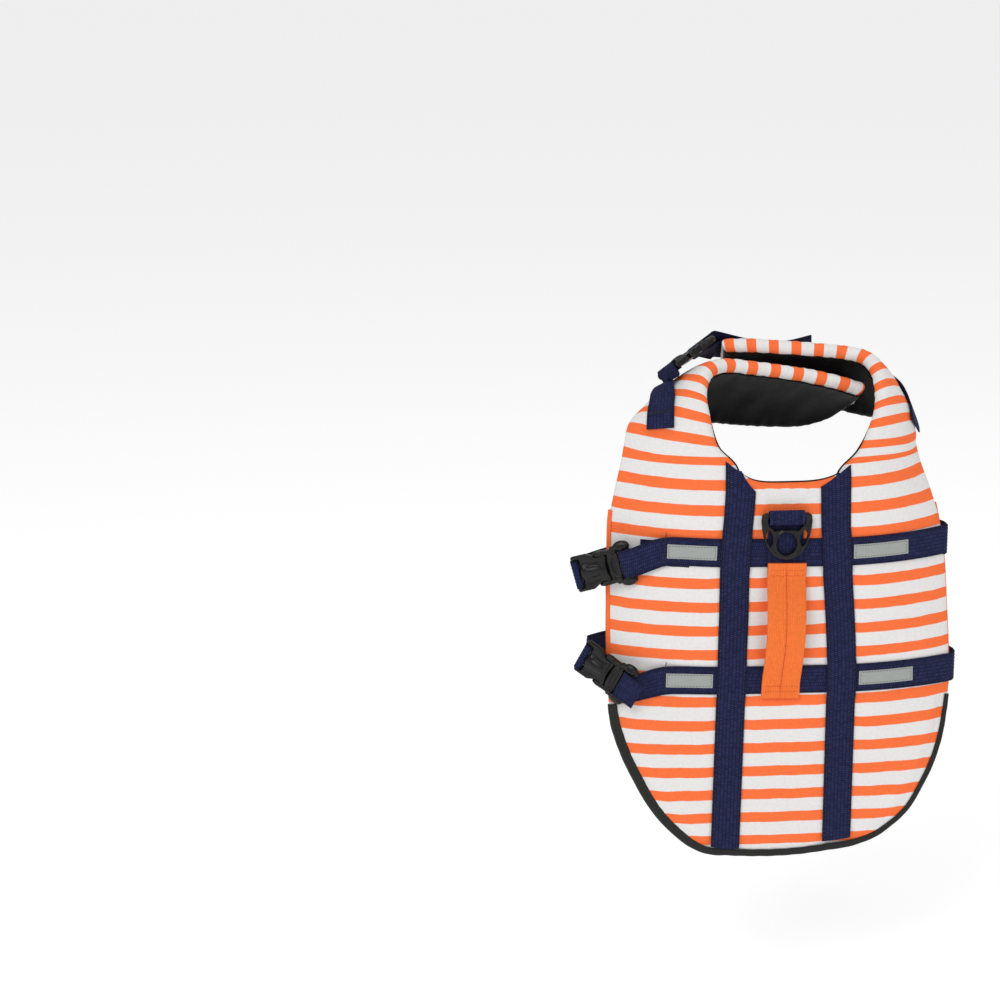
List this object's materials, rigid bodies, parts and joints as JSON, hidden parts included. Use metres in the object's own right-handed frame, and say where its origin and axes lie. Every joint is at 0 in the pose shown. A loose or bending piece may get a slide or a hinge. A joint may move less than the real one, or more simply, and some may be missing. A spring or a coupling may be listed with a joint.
{
  "type": "dog life jacket",
  "caption": "Padded striped life jacket for a dog, with neck wings that close round the throat, buckled belly belts, a lifting handle and a leash ring.",
  "frame": {"origin": "on the inner face of the middle back panel, halfway between the two belts' middles, where the jacket lies on the wearer's back", "axes": "+Z to the neck, +Y from the outer face towards the wearer's belly, +X to the side that is on the right when the outer face is looked at"},
  "size_m": [0.3435, 0.1604, 0.4527],
  "materials": {
    "striped_cloth": "woven polyester cloth with printed orange and white cross stripes over foam",
    "lining_cloth": "black satin lining with soft puckers",
    "binding_cloth": "black folded binding",
    "boxing_cloth": "orange woven polyester",
    "handle_webbing": "orange webbing with a sewn middle seam",
    "navy_webbing": "navy ribbed polypropylene webbing",
    "reflective_tape": "silver reflective tape with a sewn border",
    "buckle_plastic": "black moulded plastic with a soft sheen"
  },
  "bodies": {
    "jacket": {"panel_left": "striped_cloth", "lining_left": "lining_cloth", "panel_right": "striped_cloth", "lining_right": "lining_cloth", "panel_middle": "striped_cloth", "lining_middle": "lining_cloth", "hem_binding": "binding_cloth", "edge_left": "boxing_cloth", "edge_right": "boxing_cloth", "webbing_left": "navy_webbing", "webbing_right": "navy_webbing", "buckle_upper_female": "buckle_plastic", "buckle_upper_male": "buckle_plastic", "buckle_lower_female": "buckle_plastic", "buckle_lower_male": "buckle_plastic", "buckle_neck_female": "buckle_plastic", "buckle_neck_male": "buckle_plastic", "belt_upper_front": "navy_webbing", "belt_lower_front": "navy_webbing", "belt_upper_rear": "navy_webbing", "belt_lower_rear": "navy_webbing", "tape_upper_left": "reflective_tape", "tape_upper_right": "reflective_tape", "tape_lower_left": "reflective_tape", "tape_lower_right": "reflective_tape", "leash_strap": "navy_webbing", "handle": "handle_webbing", "neck_strap_left": "navy_webbing", "neck_strap_right": "navy_webbing"},
    "leash_ring": {"leash_ring": "buckle_plastic"}
  },
  "joints": [
    {"name": "leash_ring_swing", "type": "hinge", "parent": "jacket", "child": "leash_ring", "pos_m": [-0.0025, -0.0185, 0.091], "axis": [-1, 0, 0], "range_deg": [0, 150]}
  ]
}
